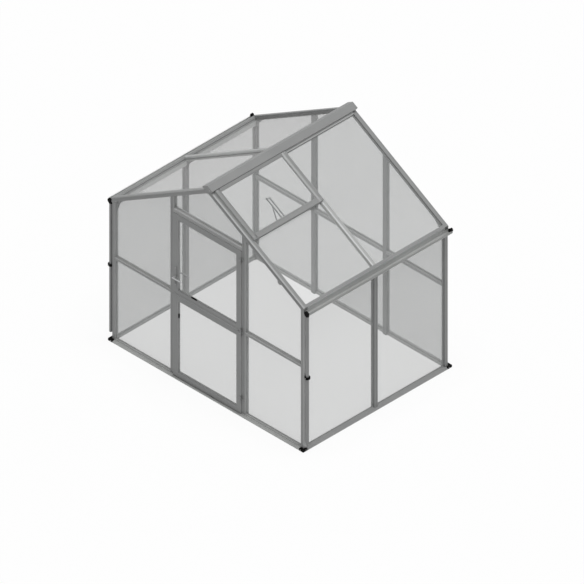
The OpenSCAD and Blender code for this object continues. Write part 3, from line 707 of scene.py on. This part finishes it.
def gable_seal(side, x0, x1, z0, z1, cuts=()):
    """A seal on a gable pane between two posts and two heights."""
    y = OUTWARD[side].y * GABLE_Y
    return seal_ring(side, ((x0 + x1) / 2, y, (z0 + z1) / 2), x1 - x0, z1 - z0, cuts)


for side in ("front", "back"):
    for x0, x1, cut in ((DOOR_OUT, POST_X, RIGHT_CUT), (-POST_X, -DOOR_OUT, LEFT_CUT)):
        rings.append(gable_seal(side, x0, x1, SILL_Z, RAIL_LOW))
        rings.append(gable_seal(side, x0, x1, RAIL_TOP, APEX_Z, (cut,)))
rings.append(gable_seal("front", -DOOR_IN, DOOR_IN, HEAD_TOP, APEX_Z, (RIGHT_CUT, LEFT_CUT)))
rings.append(gable_seal("back", -DOOR_IN, DOOR_IN, SILL_Z, RAIL_LOW))
rings.append(gable_seal("back", -DOOR_IN, DOOR_IN, RAIL_TOP, APEX_Z, (RIGHT_CUT, LEFT_CUT)))
print("seals on the gables:", len(rings))

# %% [markdown]
# ## Seals of the side walls and the roof
# Both side walls and both slopes have two bays, parted by the middle bars. On the roof a place is given by
# its distance down the slope, because the bars are cut to lengths along it. The vent has its own pane,
# which lies higher than the others.

# %% Side and roof seals
SIDE_X = span("side_glass")[1].x
EAVE_UNDER = span("eave_beams")[0].z
BAY = (span("side_mullions")[1].y, inner_face("back_posts", 1))
RIDGE_S, EAVE_S, VENT_SILL_S = 0.084, 1.5249, 0.693
VENT_PANE_S = (0.094, 0.643)
VENT_PANE_Y = [corner.y for corner in span("vent_rails")]
ROOF_PANE_LIFT, VENT_PANE_LIFT = -0.024, 0.011


def down_slope(s, y):
    """The place on the right slope at a distance from the ridge."""
    return Vector((s * math.cos(ROOF_PITCH), y, APEX_Z - s * math.sin(ROOF_PITCH)))


def roof_seal(side, s0, s1, y0, y1, lift):
    """A seal on a pane that reaches from s0 to s1 down the slope."""
    centre = down_slope((s0 + s1) / 2, (y0 + y1) / 2)
    if side == "left_roof":
        centre.x = -centre.x
    return seal_ring(side, centre + OUTWARD[side] * lift, s1 - s0, y1 - y0)


for side in ("right", "left"):
    for y in (sum(BAY) / 2, -sum(BAY) / 2):
        centre = (OUTWARD[side].x * SIDE_X, y, (SILL_Z + EAVE_UNDER) / 2)
        rings.append(seal_ring(side, centre, BAY[1] - BAY[0], EAVE_UNDER - SILL_Z))
FRONT_BAY = (-BAY[1], -BAY[0])
rings.append(roof_seal("left_roof", RIDGE_S, EAVE_S, *BAY, ROOF_PANE_LIFT))
rings.append(roof_seal("left_roof", RIDGE_S, EAVE_S, *FRONT_BAY, ROOF_PANE_LIFT))
rings.append(roof_seal("right_roof", RIDGE_S, EAVE_S, *BAY, ROOF_PANE_LIFT))
rings.append(roof_seal("right_roof", VENT_SILL_S, EAVE_S, *FRONT_BAY, ROOF_PANE_LIFT))
rings.append(roof_seal("right_roof", *VENT_PANE_S, *VENT_PANE_Y, VENT_PANE_LIFT))
print("seals on fixed panes:", len(rings))

# %% [markdown]
# ## Seals of the door, and joining
# The fixed seals become one piece that stays with the frame. The two door panes have rings of their own,
# because they swing with their leaves. A pane reaches a little way into the slots of its bars, so the ring
# is smaller than the pane by that much on each side.

# %% Join the seals
PANE_REST = 0.008
pane_seals = joined("pane_seals", rings, SEAL_RUBBER, "frame")
for leaf in ("lower_leaf", "upper_leaf"):
    low, high = span(leaf + "_glass")
    centre = (0.0, low.y, (low.z + high.z) / 2)
    ring = seal_ring("front", centre, high.x - low.x - 2 * PANE_REST, high.z - low.z - 2 * PANE_REST)
    joined(leaf + "_seal", [ring], SEAL_RUBBER, leaf)
print("faces of the fixed seals:", len(pane_seals.data.polygons))

# %% [markdown]
# ## Lips on the door leaves
# Soft strips fill most of the gap round the door leaves. At the hinge side they stop short of the hinges.
# A profile could be swept round the leaf, but the strips are straight. So each one starts as a cube at its
# size and place, and a bevel of its outer edges gives it a round nose.

# %% Lips round the leaves
LIP, LIP_NOSE = 0.0045, 0.0015
LIP_FRONT, LIP_BACK = 0.0015, 0.002
AT_EDGE = 0.0001
BETWEEN_HINGES = {"lower_leaf": ((0.018, 0.170), (0.236, 0.957)),
                  "upper_leaf": ((1.049, 1.839), (1.905, 1.9742))}


def strip(low, high):
    """A cube between two corners, open in edit mode."""
    low, high = Vector(low), Vector(high)
    bpy.ops.object.select_all(action="DESELECT")
    bpy.ops.mesh.primitive_cube_add(size=1.0, location=(low + high) / 2)
    bpy.context.object.scale = high - low
    bpy.ops.object.transform_apply(location=True, rotation=True, scale=True)
    edit("start")
    return bpy.context.object


def lip_strip(low, high, axis, outer):
    """A soft strip with a round nose at the place `outer` on an axis."""
    made = strip(low, high)
    pick_edges(lambda a, b: abs(a[axis] - outer) < AT_EDGE and abs(b[axis] - outer) < AT_EDGE)
    bpy.ops.mesh.bevel(offset=LIP_NOSE, segments=3, affect="EDGES")
    edit("end")
    return made


for leaf, stretches in BETWEEN_HINGES.items():
    low, high = span(leaf + "_stiles")
    y0, y1 = low.y + LIP_FRONT, high.y - LIP_BACK
    lips = [lip_strip((low.x - LIP, y0, low.z), (low.x, y1, high.z), 0, low.x - LIP)]
    for z0, z1 in stretches:
        lips.append(lip_strip((high.x, y0, z0), (high.x + LIP, y1, z1), 0, high.x + LIP))
    if leaf == "upper_leaf":
        lips.append(lip_strip((low.x, y0, high.z), (high.x, y1, high.z + LIP), 2, high.z + LIP))
    joined(leaf + "_lips", lips, SEAL_RUBBER, leaf)
    print(leaf, "lips:", len(lips))

# %% [markdown]
# ## Drip strip
# A sloping strip on the upper leaf covers the split between the two leaves and throws the rain off. Its
# section could be drawn and extruded. A cube is as quick: its top front edge is moved down for the slope,
# and its front edges are rounded.

# %% Drip strip over the split
DRIP_H, DRIP_OUT, DRIP_END = 0.012, 0.009, 0.436
DRIP_FALL, DRIP_ROUND = 0.004, 0.0012
drip_x, leaf_face, drip_z = span("upper_leaf_stiles")[0]
drip = strip((drip_x, leaf_face - DRIP_OUT, drip_z), (DRIP_END, leaf_face, drip_z + DRIP_H))
front_half = leaf_face - DRIP_OUT / 2
pick_edges(lambda a, b: min(a.z, b.z) > drip_z + DRIP_H / 2 and max(a.y, b.y) < front_half)
bpy.ops.transform.translate(value=(0.0, 0.0, -DRIP_FALL))
pick_edges(lambda a, b: max(a.y, b.y) < front_half)
bpy.ops.mesh.bevel(offset=DRIP_ROUND, segments=2, affect="EDGES")
edit("end")
joined("drip_strip", [drip], ALUMINIUM["x"], "upper_leaf")
print("drip strip", round(DRIP_END - drip_x, 3), "m long")

# %% [markdown]
# ## Gutter cap hooks
# The black caps at the back ends of the gutters grip the outer rim with a hook. One hook is modelled: a
# block whose top is narrowed and pulled up to a rounded finger tab. The other gutter gets a copy, which is
# sure to match and saves modelling it twice.

# %% Hooks on the gutter caps
HOOK_X, HOOK_Y = 1.391, 1.000
HOOK_LOW, HOOK_HIGH = 1.676, 1.696
HOOK_HALF_X, HOOK_HALF_Y = 0.013, 0.017
TAB_STEP, TAB_H, TAB_ROUND = 0.002, 0.014, 0.004


def copied(original, move):
    """A copy with its own mesh, moved by a matrix."""
    copy = original.copy()
    copy.data = original.data.copy()
    copy.data.transform(move)
    bpy.context.collection.objects.link(copy)
    return copy


hook = strip((HOOK_X - HOOK_HALF_X, HOOK_Y - HOOK_HALF_Y, HOOK_LOW),
             (HOOK_X + HOOK_HALF_X, HOOK_Y + HOOK_HALF_Y, HOOK_HIGH))
pick_faces(lambda centre, normal: normal.z > FLAT)
bpy.ops.mesh.inset(thickness=TAB_STEP)
pull(0.0, 0.0, TAB_H)
pick_edges(lambda a, b: min(a.z, b.z) > HOOK_HIGH + TAB_H / 2)
bpy.ops.mesh.bevel(offset=TAB_ROUND, segments=3, affect="EDGES")
edit("end")
left_hook = copied(hook, Matrix.Translation((-2 * HOOK_X, 0.0, 0.0)))
cap_hooks = joined("cap_hooks", [hook, left_hook], BLACK_PLASTIC, "frame")
print("faces of both hooks:", len(cap_hooks.data.polygons))

# %% [markdown]
# ## One screw
# Small socket screws hold the shoes, brace plates, ridge plates, clips, hinges, handle plates and vent
# corners. One is modelled: a short cylinder with its rim rounded, and its top inset and pushed in for the
# socket. It is made at the origin and looks up, so that a copy is easy to turn and place.

# %% Model one screw
SCREW_R, SCREW_H = 0.0045, 0.0026
RIM_ROUND_SHARE, WALL_SHARE, SOCKET_SHARE, TOP_SHARE = 0.35, 0.25, 0.7, 0.9
bpy.ops.object.select_all(action="DESELECT")
bpy.ops.mesh.primitive_cylinder_add(vertices=16, radius=SCREW_R, depth=SCREW_H,
                                    location=(0.0, 0.0, SCREW_H / 2))
bpy.ops.object.transform_apply(location=True, rotation=True, scale=True)
screw = bpy.context.object
edit("start")
pick_edges(lambda a, b: min(a.z, b.z) > SCREW_H * TOP_SHARE)
bpy.ops.mesh.bevel(offset=SCREW_H * RIM_ROUND_SHARE, segments=3, affect="EDGES")
pick_faces(lambda centre, normal: normal.z > FLAT and centre.z > SCREW_H * TOP_SHARE)
bpy.ops.mesh.inset(thickness=SCREW_R * WALL_SHARE)
pull(0.0, 0.0, -SCREW_H * SOCKET_SHARE)
edit("end")
print("faces of one screw:", len(screw.data.polygons))

# %% [markdown]
# ## Places of the frame's screws
# Each place is a point on a face and the way that face looks. The loop over both sides and both gables
# covers what is mirrored, and the clips, post hinges and vent corners follow.

# %% Screws of the frame
SHOE_IN = 0.040
RIDGE_SCREW_X, RIDGE_SCREW_Z = 0.036, 2.495
BRACE_POST = (0.010, -0.050)
BRACE_RAFTER = (0.055, 0.016)
PLATE_T, HINGE_EDGE, HINGE_HALF = 0.003, 0.010, 0.013
VENT_CORNER_S, VENT_CORNER_IN, VENT_FACE = (0.079, 0.669), 0.016, 0.026
FRONT, BACK = OUTWARD["front"], OUTWARD["back"]

shoe = span("corner_shoes")[1]
brace_y, ridge_end_y = span("eave_gussets")[1].y, span("ridge_ends")[1].y
brace_z = UNDER_APEX - POST_X * math.tan(ROOF_PITCH)
clip_low, clip_high = span("pipe_clips")
pipe_x = (inner_face("downpipes", 0) + span("downpipes")[1].x) / 2
frame_places = []
for x in (1.0, -1.0):
    for y, way in ((-1.0, FRONT), (1.0, BACK)):
        frame_places.append(((x * (shoe.x - SHOE_IN), y * shoe.y, shoe.z / 2), way))
        frame_places.append(((x * shoe.x, y * (shoe.y - SHOE_IN), shoe.z / 2), (x, 0.0, 0.0)))
        frame_places.append(((x * RIDGE_SCREW_X, y * ridge_end_y, RIDGE_SCREW_Z), way))
        for inset, rise in (BRACE_POST, BRACE_RAFTER):
            frame_places.append(((x * (POST_X - inset), y * brace_y, brace_z + rise), way))
    frame_places.append(((x * pipe_x, clip_low.y, (clip_low.z + clip_high.z) / 2), FRONT))

hinge_low, hinge_high = span("post_hinges")
post_face = span("door_posts")[0].y
split_z = (span("lower_leaf_stiles")[1].z + span("upper_leaf_stiles")[0].z) / 2
for z in (hinge_low.z + HINGE_HALF, split_z, hinge_high.z - HINGE_HALF):
    frame_places.append(((hinge_high.x - HINGE_EDGE, post_face - PLATE_T, z), FRONT))
vent_low, vent_high = span("vent_stiles")
for s in VENT_CORNER_S:
    for y in (vent_low.y + VENT_CORNER_IN, vent_high.y - VENT_CORNER_IN):
        frame_places.append((down_slope(s, y) + RIGHT_SLOPE * VENT_FACE, RIGHT_SLOPE))
print("screws in the frame:", len(frame_places))

# %% [markdown]
# ## Screws of the leaves, and copying
# The leaves carry the screws of their hinge plates, and the upper one also those of the handle plates
# inside and outside. Every screw is a copy of the first, turned to the face it sits on. Linked copies would
# be lighter, but each one needs its own mesh, because the copies of one body are joined to one piece that
# swings with it.

# %% Copy the screws
PLATE_SCREW = 0.100
plate_low, plate_high = span("handle_plates")
HANDLE_X, HANDLE_Z = (plate_low.x + plate_high.x) / 2, (plate_low.z + plate_high.z) / 2


def screws_at(places):
    """Copies of the screw at pairs of a place and the direction it faces."""
    made = []
    for place, way in places:
        turn = Vector(way).to_track_quat("Z", "Y").to_matrix().to_4x4()
        made.append(copied(screw, Matrix.Translation(Vector(place)) @ turn))
    return made


leaf_places = {}
for leaf in ("lower_leaf", "upper_leaf"):
    low, high = span(leaf + "_hinges")
    heights = (low.z + HINGE_HALF, high.z - HINGE_HALF)
    leaf_places[leaf] = [((low.x + HINGE_EDGE, leaf_face - PLATE_T, z), FRONT) for z in heights]
for z in (HANDLE_Z - PLATE_SCREW, HANDLE_Z + PLATE_SCREW):
    leaf_places["upper_leaf"].append(((HANDLE_X, plate_low.y, z), FRONT))
    leaf_places["upper_leaf"].append(((HANDLE_X, plate_high.y, z), BACK))
joined("frame_screws", screws_at(frame_places), BRIGHT_STEEL, "frame")
for leaf, places in leaf_places.items():
    joined(leaf + "_screws", screws_at(places), BRIGHT_STEEL, leaf)
bpy.data.objects.remove(screw)
print("screws:", len(frame_places) + sum(len(places) for places in leaf_places.values()))

# %% [markdown]
# ## Lock barrel
# The lock sits below the lever in the outer handle plate. It is a short cylinder with a lug under it and a
# key slot in its face. A boolean could cut the slot, but leaves long thin faces. Here it is two insets: the
# first leaves a rim, and the second is squeezed to a slot and pushed in.

# %% Lock barrel
LOCK_BELOW, LOCK_R, LOCK_OUT, LUG_H = 0.070, 0.0085, 0.005, 0.014
LOCK_RIM_SHARE, SLOT_SHARE, SLOT_DEPTH_SHARE = 0.2, 0.3, 0.7
LUG_FACES = -0.9
LOCK_Z = HANDLE_Z - LOCK_BELOW
bpy.ops.object.select_all(action="DESELECT")
bpy.ops.mesh.primitive_cylinder_add(vertices=24, radius=LOCK_R, depth=LOCK_OUT, rotation=FACING["front"],
                                    location=(HANDLE_X, plate_low.y - LOCK_OUT / 2, LOCK_Z))
bpy.ops.object.transform_apply(location=True, rotation=True, scale=True)
lock = bpy.context.object
edit("start")
pick_faces(lambda centre, normal: normal.z < LUG_FACES)
pull(0.0, 0.0, -LUG_H)
pick_faces(lambda centre, normal: normal.y < -FLAT and centre.z > LOCK_Z - LOCK_R / 2)
bpy.ops.mesh.inset(thickness=LOCK_R * LOCK_RIM_SHARE)
bpy.ops.mesh.inset(thickness=LOCK_R * LOCK_RIM_SHARE)
bpy.ops.transform.resize(value=(SLOT_SHARE, 1.0, 1.0))
pull(0.0, LOCK_OUT * SLOT_DEPTH_SHARE, 0.0)
edit("end")
joined("lock_barrel", [lock], SATIN_STEEL, "upper_leaf")
print("lock barrel at height", round(LOCK_Z, 3))

# %% [markdown]
# ## Hanging eye
# Under the right front rafter is a small plate with a hole, for hanging things up. A torus would be too
# round for a plate. So it starts as a filled circle: an inset and a deleted middle make the hole, the
# rafter's underside cuts off the top, and pulling it back gives it its thickness.

# %% Hanging eye
EYE_X, EYE_Y, EYE_DROP = 0.997, -1.004, 0.008
EYE_R, EYE_HOLE, EYE_T = 0.027, 0.011, 0.004
eye_z = UNDER_APEX - EYE_X * math.tan(ROOF_PITCH) - EYE_DROP
bpy.ops.object.select_all(action="DESELECT")
bpy.ops.mesh.primitive_circle_add(vertices=32, radius=EYE_R, fill_type="NGON", rotation=FACING["front"],
                                  location=(EYE_X, EYE_Y, eye_z))
bpy.ops.object.transform_apply(location=True, rotation=True, scale=True)
eye = bpy.context.object
edit("start")
bpy.ops.mesh.inset(thickness=EYE_R - EYE_HOLE)
bpy.ops.mesh.delete(type="FACE")
bpy.ops.mesh.select_all(action="SELECT")
bpy.ops.mesh.bisect(plane_co=RIGHT_CUT[0], plane_no=RIGHT_CUT[1], clear_outer=True)
bpy.ops.mesh.select_all(action="SELECT")
pull(0.0, EYE_T, 0.0)
edit("end")
joined("hanging_eye", [eye], ALUMINIUM["z"], "frame")
print("hanging eye at", EYE_X, round(eye_z, 3))
